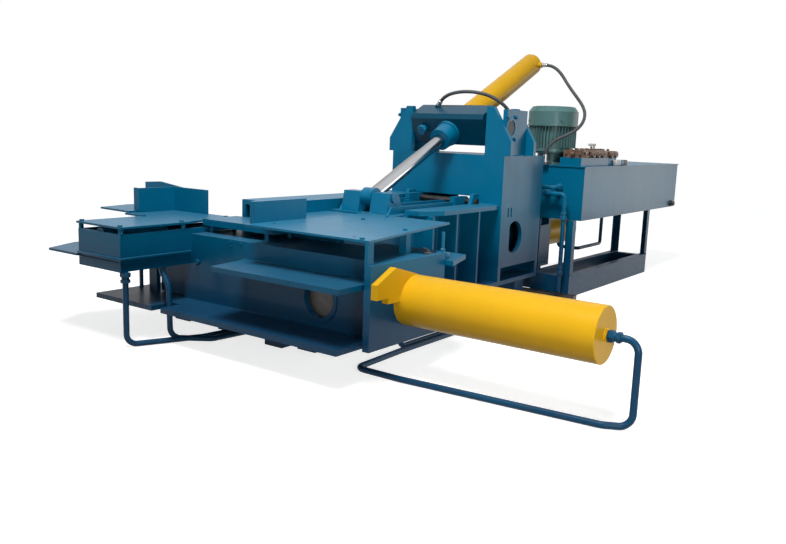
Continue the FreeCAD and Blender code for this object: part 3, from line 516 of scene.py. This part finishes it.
class BALER_OT_stage(bpy.types.Operator):
    """Sets the camera, the pale floor and the soft studio light"""
    bl_idname = "baler.stage"
    bl_label = "Stage"

    def execute(self, context):
        scene, values = context.scene, context.scene.baler_stage
        scene.view_settings.view_transform = "Standard"
        forward = Vector((-math.sin(values.yaw) * math.cos(values.pitch),
                          math.cos(values.yaw) * math.cos(values.pitch), -math.sin(values.pitch)))
        right = Vector((math.cos(values.yaw), math.sin(values.yaw), 0.0))
        down = forward.cross(right)
        across = math.cos(values.roll) * right + math.sin(values.roll) * down
        down = -math.sin(values.roll) * right + math.cos(values.roll) * down
        lens = bpy.data.cameras.new("camera")
        lens.sensor_fit = "HORIZONTAL"
        lens.sensor_width = SENSOR_WIDTH
        lens.lens = values.focal_pixels * SENSOR_WIDTH / PHOTO_WIDTH
        camera = bpy.data.objects.new("camera", lens)
        matrix = Matrix((across, -down, -forward)).transposed().to_4x4()
        matrix.translation = Vector(values.camera)
        camera.matrix_world = matrix
        scene.collection.objects.link(camera)
        scene.camera = camera
        self.floor(scene)
        self.world(scene, values.world)
        for name, place, aim, size, power, tint, spread in LAMPS:
            lamp = bpy.data.lights.new(name, "AREA")
            lamp.shape, lamp.energy, lamp.color = "RECTANGLE", power, tint
            lamp.size, lamp.size_y = size
            lamp.spread = math.radians(spread)
            holder = bpy.data.objects.new(name, lamp)
            holder.location = place
            aim = Vector(aim) - Vector(place)
            holder.rotation_euler = aim.to_track_quat("-Z", "Y").to_euler()
            scene.collection.objects.link(holder)
        return {"FINISHED"}

    def seen(self, tree):
        """1 for rays that see the floor or sky directly or in a mirror."""
        path = tree.nodes.new("ShaderNodeLightPath")
        camera, glossy, clear = (Field(tree, path.outputs[name]) for name in
                                 ("Is Camera Ray", "Is Glossy Ray", "Is Transmission Ray"))
        return (camera + glossy + clear).clamped()

    def floor(self, scene):
        mesh = bpy.data.meshes.new("floor")
        sheet = bmesh.new()
        bmesh.ops.create_grid(sheet, x_segments=1, y_segments=1, size=FLOOR_SIZE)
        sheet.to_mesh(mesh)
        sheet.free()
        floor = bpy.data.objects.new("floor", mesh)
        scene.collection.objects.link(floor)
        material = bpy.data.materials.new("pale_floor")
        material.use_nodes = True
        tree = material.node_tree
        tree.nodes.clear()
        out = tree.nodes.new("ShaderNodeOutputMaterial")
        pale, dull = (tree.nodes.new("ShaderNodeBsdfDiffuse") for _ in range(2))
        pale.inputs["Color"].default_value = FLOOR_TONE
        dull.inputs["Color"].default_value = FLOOR_BOUNCE
        near, far = (tree.nodes.new("ShaderNodeEmission") for _ in range(2))
        near.inputs["Strength"].default_value = FLOOR_GLOW_NEAR
        far.inputs["Strength"].default_value = FLOOR_GLOW_FAR
        facing = Field(tree, tree.nodes.new("ShaderNodeLayerWeight").outputs["Facing"])
        slant = facing ** FLOOR_GLOW_CURVE
        glow = tree.nodes.new("ShaderNodeMixShader")
        tree.links.new(slant.socket, glow.inputs[0])
        tree.links.new(near.outputs[0], glow.inputs[1])
        tree.links.new(far.outputs[0], glow.inputs[2])
        lit = tree.nodes.new("ShaderNodeAddShader")
        tree.links.new(pale.outputs[0], lit.inputs[0])
        tree.links.new(glow.outputs[0], lit.inputs[1])
        mix = tree.nodes.new("ShaderNodeMixShader")
        tree.links.new(self.seen(tree).socket, mix.inputs[0])
        tree.links.new(dull.outputs[0], mix.inputs[1])
        tree.links.new(lit.outputs[0], mix.inputs[2])
        tree.links.new(mix.outputs[0], out.inputs[0])
        mesh.materials.append(material)

    def world(self, scene, strength):
        world = bpy.data.worlds.new("studio")
        world.use_nodes = True
        tree = world.node_tree
        tree.nodes.clear()
        out = tree.nodes.new("ShaderNodeOutputWorld")
        mix = tree.nodes.new("ShaderNodeMixShader")
        for socket, tone, power in ((1, SKY_TINT, strength), (2, SKY_SEEN, 1.0)):
            back = tree.nodes.new("ShaderNodeBackground")
            back.inputs["Color"].default_value = tone
            back.inputs["Strength"].default_value = power
            tree.links.new(back.outputs[0], mix.inputs[socket])
        tree.links.new(self.seen(tree).socket, mix.inputs[0])
        tree.links.new(mix.outputs[0], out.inputs[0])
        scene.world = world


class BALER_OT_hoses(bpy.types.Operator):
    """Draws the two pressure hoses of the lid cylinder with their crimped ends"""
    bl_idname = "baler.hoses"
    bl_label = "Hoses"

    def execute(self, context):
        port = along_lid(YOKE_PORT, -0.150, 0.1524)
        aim = math.sin(NOZZLE_LEAN) * X_AXIS + math.cos(NOZZLE_LEAN) * OVER
        tail = along_lid(BARREL_TAIL, 0.1154)
        front = [port, port + aim * 0.060, (-0.040, 1.800, 1.574), (0.038, 1.806, 1.592),
                 (0.116, 1.822, 1.597), (0.196, 1.844, 1.590), (0.268, 1.872, 1.571),
                 (0.328, 1.905, 1.538), (0.372, 1.943, 1.495), (0.396, 1.979, 1.443),
                 (0.405, 2.000, 1.385), (0.405, 2.012, 1.325), (0.405, 2.012, 1.260)]
        rear = [tail, (0.178, tail.y, tail.z), (0.243, 3.026, 1.862), (0.300, 3.032, 1.806),
                (0.352, 3.022, 1.738), (0.412, 3.004, 1.674), (0.478, 2.976, 1.612),
                (0.545, 2.936, 1.550), (0.596, 2.882, 1.484), (0.610, 2.822, 1.412),
                (0.584, 2.762, 1.350), (0.524, 2.708, 1.306), (0.452, 2.668, 1.268),
                (0.404, 2.644, 1.214), (0.385, 2.636, 1.150), (0.385, 2.636, 1.0997)]
        self.hose(context, "lid_hose_front", front, 0.865, (-0.120, 1.820, 1.530), (0.330, 1.980, 1.440))
        self.hose(context, "lid_hose_rear", rear, 1.235, (0.165, 3.020, 1.885), (0.460, 2.700, 1.280))
        return {"FINISHED"}

    def hose(self, context, name, route, real, leaves, settles):
        """One hose: its first end rides on the lid cylinder, its last on the frame."""
        diameter = context.scene.baler_sizes.hose
        route = [Vector(point) for point in route]
        line = bpy.data.curves.new(name + "_line", "CURVE")
        line.dimensions = "3D"
        spline = line.splines.new("NURBS")
        spline.points.add(len(route) - 1)
        for point, place in zip(spline.points, route):
            point.co = (*place, 1.0)
        spline.order_u = 3
        spline.use_endpoint_u = True
        line.resolution_u = 8
        drawn = bpy.data.objects.new(name + "_drawn", line)
        context.collection.objects.link(drawn)
        thread = bpy.data.meshes.new_from_object(drawn)
        line.bevel_depth = diameter / 2
        line.bevel_resolution = 5
        line.use_fill_caps = True
        context.view_layer.update()
        tube = bpy.data.meshes.new_from_object(drawn)
        bpy.data.objects.remove(drawn)
        cover = Piece(name + "_cover")
        cover.bm.from_mesh(tube)
        bmesh.ops.remove_doubles(cover.bm, verts=cover.bm.verts[:], dist=1e-5)
        cover = cover.done("hose", None, "hose_rubber", 60.0)
        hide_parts(name)
        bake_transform(cover)
        for end, after, body, part in ((route[0], route[1], "lid_cylinder", "_start"),
                                       (route[-1], route[-2], "frame", "_end")):
            aim = (after - end).normalized()
            radius = diameter / 2
            crimp = Piece(name + part)
            crimp.spun(end, aim, [
                (radius * 0.9, 0.0), (radius * 1.35, 0.0), (radius * 1.42, 0.004), (radius * 1.30, 0.010),
                (radius * 1.30, 0.016), (radius * 1.42, 0.021), (radius * 1.30, 0.027),
                (radius * 1.30, 0.033), (radius * 1.40, 0.038), (radius * 1.22, 0.046),
                (radius * 1.0, 0.048)], 24, True)
            crimp.done("zinc", body, "bolt_zinc")


class BALER_OT_welds(bpy.types.Operator):
    """Lays the fillet welds of the frame, the lid and the lid cylinder"""
    bl_idname = "baler.welds"
    bl_label = "Welds"

    def execute(self, context):
        sizes = context.scene.baler_sizes
        radius, ripple = sizes.weld, sizes.ripple
        frame_welds = Piece("frame_welds")
        runs = [
            [(-0.10, -0.205, 0.498), (0.859, -0.205, 0.498)],
            [(-0.10, -0.205, 0.526), (0.859, -0.205, 0.526)],
            [(-0.63, -0.205, 0.220), (0.880, -0.205, 0.220)],
            [(0.880, -0.205, 0.224), (0.880, -0.205, 0.494)],
            [(0.880, -0.205, 0.530), (0.880, -0.205, 0.626)],
            [(0.300, 0.910, 0.222), (0.300, 0.910, 0.750)],
            [(0.300, 1.200, 0.222), (0.300, 1.200, 0.750)],
            [(0.300, 1.490, 0.222), (0.300, 1.490, 0.750)],
            [(0.302, 1.750, 0.784), (0.468, 1.750, 0.784)],
            [(-0.558, 1.750, 0.821), (-0.272, 1.750, 0.821)],
            [(0.470, 1.795, 1.141), (0.470, 2.106, 1.141)],
            [(0.440, 1.795, 1.141), (0.440, 2.106, 1.141)],
            [(0.472, 1.790, 1.144), (0.472, 1.790, 1.468)],
            [(0.328, 1.790, 1.141), (0.488, 1.790, 1.141)],
            [(-0.328, 1.790, 1.141), (-0.488, 1.790, 1.141)],
            [(0.302, 2.390, 0.222), (0.302, 2.966, 0.222)],
            [(-0.302, 2.390, 0.222), (-0.302, 2.966, 0.222)],
            [(-0.966, -0.206, 0.446), (-0.966, -0.206, 0.497)],
            [(-0.951, -0.711, 0.499), (-0.585, -0.711, 0.499)],
            [(-0.569, -0.706, 0.446), (-0.569, -0.706, 0.656)],
            [(0.676, 2.624, 0.186), (0.676, 2.676, 0.186)],
            [(0.676, 4.394, 0.186), (0.676, 4.446, 0.186)],
        ]
        for number, run in enumerate(runs):
            frame_welds.bead(run, radius, ripple, seed=number)
        frame_welds.round_bead((0.475, -0.206, 0.380), Y_AXIS, 0.1285, radius * 0.8, ripple, 41)
        frame_welds.round_bead((0, 3.048, 0.416), Y_AXIS, 0.1375, radius, ripple, 42)
        frame_welds.done("frame", "frame", "frame_blue")
        lid_welds = Piece("lid_welds")
        number = 60
        for x in (-0.210, -0.190, 0.050, 0.070, 0.190, 0.210):
            lid_welds.bead([(x, 0.760, 0.751), (x, 1.520, 0.751)], radius * 0.9, ripple, seed=number)
            number += 1
        for x in (-0.190, -0.048, 0.048, 0.190):
            lid_welds.bead([(x, 0.765, 0.751), (x, 0.940, 0.751)], radius * 0.9, ripple, seed=number)
            number += 1
        lid_welds.done("frame", "lid", "frame_blue")
        cylinder_welds = Piece("lid_cylinder_welds")
        for side in (-1, 1):
            cylinder_welds.round_bead(TRUNNION + X_AXIS * side * 0.316, X_AXIS, 0.056, radius, ripple,
                                      80 + side)
        cylinder_welds.done("frame", "lid_cylinder", "frame_blue")
        barrel_welds = Piece("barrel_welds")
        barrel_welds.round_bead(along_lid(BARREL_SHOULDER), AXIS, 0.0905, radius, ripple, 90)
        barrel_welds.done("barrel", "lid_cylinder", "cylinder_yellow")
        cap_welds = Piece("side_barrel_welds")
        cap_welds.round_bead((2.001, 0, 0.416), X_AXIS, 0.028, radius, ripple, 92)
        cap_welds.done("barrel", "frame", "cylinder_yellow")
        return {"FINISHED"}


class BALER_OT_unions(bpy.types.Operator):
    """Fits union nuts and collars where the steel pipes are screwed together"""
    bl_idname = "baler.unions"
    bl_label = "Pipe unions"

    def execute(self, context):
        sizes = context.scene.baler_sizes
        across, tube = sizes.union, sizes.pipe / 2
        unions = Piece("pipe_unions")
        for at, direction in (
                ((2.016, 0, 0.416), X_AXIS), ((1.010, 0.172, 0.416), Y_AXIS),
                ((-0.576, -0.672, 0.440), -Z_AXIS), ((-0.605, -0.400, 0.493), -Z_AXIS),
                ((0.610, 2.570, 0.200), Z_AXIS),
                ((0.610, 2.570, 0.640), Z_AXIS), ((0.420, 2.663, 0.840), -Y_AXIS),
                ((0.520, 2.663, 0.890), -Y_AXIS)):
            at, direction = Vector(at), Vector(direction)
            unions.hexagon(at, direction, across, 0.026)
            unions.ring(at + direction * 0.026, direction, tube * 0.98, tube * 1.28, 0.012, 24)
            unions.hexagon(at + direction * 0.040, direction, across * 0.92, 0.020)
        unions.done("frame", "frame", "frame_blue")
        return {"FINISHED"}


class BALER_OT_bolts(bpy.types.Operator):
    """Adds the bearing bolts, dark discs of painted shade on the journals' ends, the rod eye's paint and
    the yoke's knob
    """
    bl_idname = "baler.bolts"
    bl_label = "Bolts"

    def execute(self, context):
        bearing = Piece("trunnion_bolts")
        for side in (-1, 1):
            face = TRUNNION + X_AXIS * side * 0.470
            for turn in (50, 130, 230, 310):
                turn = math.radians(turn)
                at = face + Vector((0, 0.104 * math.cos(turn), 0.104 * math.sin(turn)))
                bearing.bolt(at, X_AXIS * side, 0.024)
            bearing.ring(face, X_AXIS * side, 0.058, 0.076, 0.006, 40)
        bearing.done("frame", "frame", "frame_blue")
        # Painted shade: a thin dark rubber disc on each journal's end stands for the dark bore of the
        # journal.
        ends = Piece("journal_shade_discs")
        for side in (-1, 1):
            ends.bar(TRUNNION + X_AXIS * side * 0.4695, TRUNNION + X_AXIS * side * 0.4710, 0.048, 40)
        ends.done("seal", "lid_cylinder", "dark_steel")
        eye = Piece("rod_eye_paint")
        pin = along_lid(ROD_PIN)
        eye.bar(pin - X_AXIS * 0.0445, pin + X_AXIS * 0.0445, 0.0606, 48)
        eye.done("frame", "lid_rod", "frame_blue")
        knob = Piece("yoke_knob")
        at = along_lid(0.110, -0.215, 0.030)
        knob.spun(at, AXIS, [(0, 0), (0.028, 0), (0.028, 0.014), (0.039, 0.020), (0.039, 0.036),
                             (0.033, 0.042), (0, 0.042)], 32)
        knob.done("frame", "lid_cylinder", "frame_blue")
        return {"FINISHED"}


class BALER_OT_motor_trim(bpy.types.Operator):
    """Adds the motor's terminal box, fan cover rim, grille and screws"""
    bl_idname = "baler.motor_trim"
    bl_label = "Motor trim"

    def execute(self, context):
        centre = MOTOR_CENTRE
        trim = Piece("motor_trim")
        trim.block((0.238, 3.130, 1.225), (0.378, 3.146, 1.355), 0.004)
        for x, z in ((0.249, 1.236), (0.367, 1.236), (0.249, 1.344), (0.367, 1.344)):
            trim.bolt((x, 3.146, z), Y_AXIS, 0.010)
        trim.ring(centre + Z_AXIS * 1.378, Z_AXIS, 0.2045, 0.2068, 0.010, 64)
        for turn in range(0, 360, 90):
            turn = math.radians(turn + 45)
            out = Vector((math.cos(turn), math.sin(turn), 0))
            trim.bolt(centre + Z_AXIS * 1.420 + out * 0.2045, out, 0.013)
            trim.bolt(centre + out * 0.163 + Z_AXIS * 1.162, -Z_AXIS, 0.018)
        for ring in range(5):
            radius = 0.045 + ring * 0.026
            trim.ring(centre + Z_AXIS * 1.5352, Z_AXIS, radius, radius + 0.006, 0.0028, 48)
        for turn in range(12):
            turn = math.radians(turn * 30)
            out = Vector((math.cos(turn), math.sin(turn), 0))
            hub = centre + Z_AXIS * 1.5355
            trim.bar(hub + out * 0.02, hub + out * 0.155, 0.0028, 8)
        trim.done("motor", "frame", "motor_grey")
        return {"FINISHED"}


class BALER_OT_valve_trim(bpy.types.Operator):
    """Adds the valve bank's plugs, tie bolts, end sections and lever, and the tank's gauge"""
    bl_idname = "baler.valve_trim"
    bl_label = "Valve trim"

    def execute(self, context):
        top, right = VALVE_TOP, VALVE_SIDE
        trim = Piece("valve_trim")
        for number in range(VALVE_SECTIONS):
            y = VALVE_FIRST + VALVE_PITCH * number
            for x in (0.545, 0.605):
                trim.bolt((x, y, top), Z_AXIS, 0.021)
            trim.spun((0.645, y, top), Z_AXIS, [(0, 0), (0.019, 0), (0.019, 0.010), (0.014, 0.016),
                                                (0, 0.016)])
            for z in (1.142, 1.176):
                trim.bolt((right, y + 0.030, z), X_AXIS, 0.013)
                trim.bolt((right, y - 0.030, z), X_AXIS, 0.013)
            trim.ring((right, y, VALVE_PORTS), X_AXIS, 0.010, 0.024, 0.012, 28)
        for x in VALVE_TIE_ROWS:
            trim.bolt((x, VALVE_ENDS[0], 1.160), -Y_AXIS, 0.020, 0.008)
            trim.bolt((x, VALVE_ENDS[1], 1.160), Y_AXIS, 0.020, 0.008)
        trim.spun((0.590, VALVE_ENDS[0], 1.160), -Y_AXIS, [(0, 0), (0.016, 0), (0.016, 0.03), (0.01, 0.034),
                                                   (0.01, 0.05), (0, 0.05)])
        trim.done("casting", "frame", "valve_brown")
        sections = Piece("valve_end_sections")
        for number in range(2):
            y = 3.237 + 0.106 * number
            sections.block((0.508, y, 1.132), (0.672, y + 0.102, 1.188), 0.006)
            sections.ring((0.672, y + 0.051, VALVE_PORTS), X_AXIS, 0.012, 0.027, 0.026, 28)
            sections.bolt((0.545, y + 0.051, 1.188), Z_AXIS, 0.021)
            sections.bolt((0.610, y + 0.051, 1.188), Z_AXIS, 0.021)
            sections.bolt((0.672, y + 0.022, 1.176), X_AXIS, 0.013)
            sections.bolt((0.672, y + 0.080, 1.142), X_AXIS, 0.013)
        sections.done("casting", "frame", "valve_brown")
        seat = Piece("valve_seat")
        seat.block((0.492, 3.262, 1.066), (0.672, 3.450, 1.130), 0.003)
        seat.done("frame", "frame", "frame_blue")
        for name, start, end, finish in (("gauge_face", 3.380, 3.490, "white"),
                                         ("gauge_body", 3.490, 3.560, "frame"),
                                         ("gauge_cap", 3.560, 3.640, "seal")):
            gauge = Piece(name)
            gauge.block((0.655, start, 1.066), (0.703, end, 1.112), 0.003)
            gauge.done(finish, "frame", "fan_plastic")
        lever = Piece("relief_lever")
        lever.bar((0.600, 3.050, 1.190), (0.600, 3.050, 1.232), 0.009, 20)
        lever.block((0.588, 3.005, 1.226), (0.612, 3.120, 1.246), 0.004)
        lever.bar((0.600, 3.108, 1.228), (0.600, 3.108, 1.206), 0.007, 16)
        lever.done("white", "frame", "fan_plastic")
        return {"FINISHED"}


class BALER_OT_shelf_fittings(bpy.types.Operator):
    """Adds the limit switch and pipe junction by the side ram, beam screws and housing ledge"""
    bl_idname = "baler.shelf_fittings"
    bl_label = "Shelf fittings"

    def execute(self, context):
        switch = Piece("limit_switch")
        switch.block((0.845, 0.225, 0.588), (0.885, 0.262, 0.636), 0.004)
        switch.bar((0.865, 0.243, 0.636), (0.865, 0.243, 0.650), 0.011, 16)
        switch.bar((0.865, 0.243, 0.650), (0.850, 0.214, 0.662), 0.004, 10)
        switch.done("seal", "frame", "fan_plastic")
        junction = Piece("shelf_junction")
        junction.block((0.836, 0.362, 0.588), (0.908, 0.404, 0.626), 0.004)
        junction.bar((0.872, 0.383, 0.626), (0.872, 0.383, 0.700), 0.010, 16)
        junction.bar((0.872, 0.383, 0.700), (0.872, 0.383, 0.738), 0.010, 16)
        junction.bolt((0.872, 0.383, 0.626), Z_AXIS, 0.026)
        junction.bolt((0.850, 0.362, 0.606), -Y_AXIS, 0.014)
        junction.bolt((0.893, 0.362, 0.606), -Y_AXIS, 0.014)
        junction.done("frame", "frame", "frame_blue")
        beam = Piece("beam_screws")
        for x, z in ((-0.216, 0.590), (-0.216, 0.615), (-0.132, 0.612)):
            beam.bolt((x, -0.205, z), -Y_AXIS, 0.012)
        beam.spun((-0.507, -0.205, 0.460), -Y_AXIS, [(0, 0), (0.017, 0), (0.017, 0.012), (0.012, 0.016),
                                                     (0, 0.016)], 24)
        beam.done("frame", "frame", "frame_blue")
        ledge = Piece("housing_ledge")
        ledge.block((-0.566, -0.722, 0.516), (-0.548, -0.215, 0.528), 0.002)
        ledge.block((-0.966, -0.722, 0.516), (-0.560, -0.708, 0.528), 0.002)
        ledge.done("frame", "frame", "frame_blue")
        return {"FINISHED"}


STEPS = (BALER_OT_stage, BALER_OT_finishes, BALER_OT_hoses, BALER_OT_welds, BALER_OT_unions, BALER_OT_bolts,
         BALER_OT_motor_trim, BALER_OT_valve_trim, BALER_OT_shelf_fittings)
GROUPS = {"baler_colours": BalerColours, "baler_sizes": BalerSizes, "baler_stage": BalerStage}


class BALER_PT_panel(bpy.types.Panel):
    """Lists the steps and the values of the baler"""
    bl_idname = "BALER_PT_panel"
    bl_label = "Scrap baler"
    bl_space_type = "VIEW_3D"
    bl_region_type = "UI"
    bl_category = "Baler"

    def draw(self, context):
        for step in STEPS:
            self.layout.operator(step.bl_idname)
        for name in GROUPS:
            group = getattr(context.scene, name)
            for value in group.bl_rna.properties.keys():
                if value not in {"rna_type", "name"}:
                    self.layout.prop(group, value)


def register():
    for one in (*GROUPS.values(), *STEPS, BALER_PT_panel):
        bpy.utils.register_class(one)
    for name, group in GROUPS.items():
        setattr(bpy.types.Scene, name, PointerProperty(type=group))


def unregister():
    for name in GROUPS:
        delattr(bpy.types.Scene, name)
    for one in (BALER_PT_panel, *reversed(STEPS), *GROUPS.values()):
        bpy.utils.unregister_class(one)


def main():
    register()
    for step in STEPS:
        family, name = step.bl_idname.split(".")
        getattr(getattr(bpy.ops, family), name)()


if __name__ == "__main__":
    main()
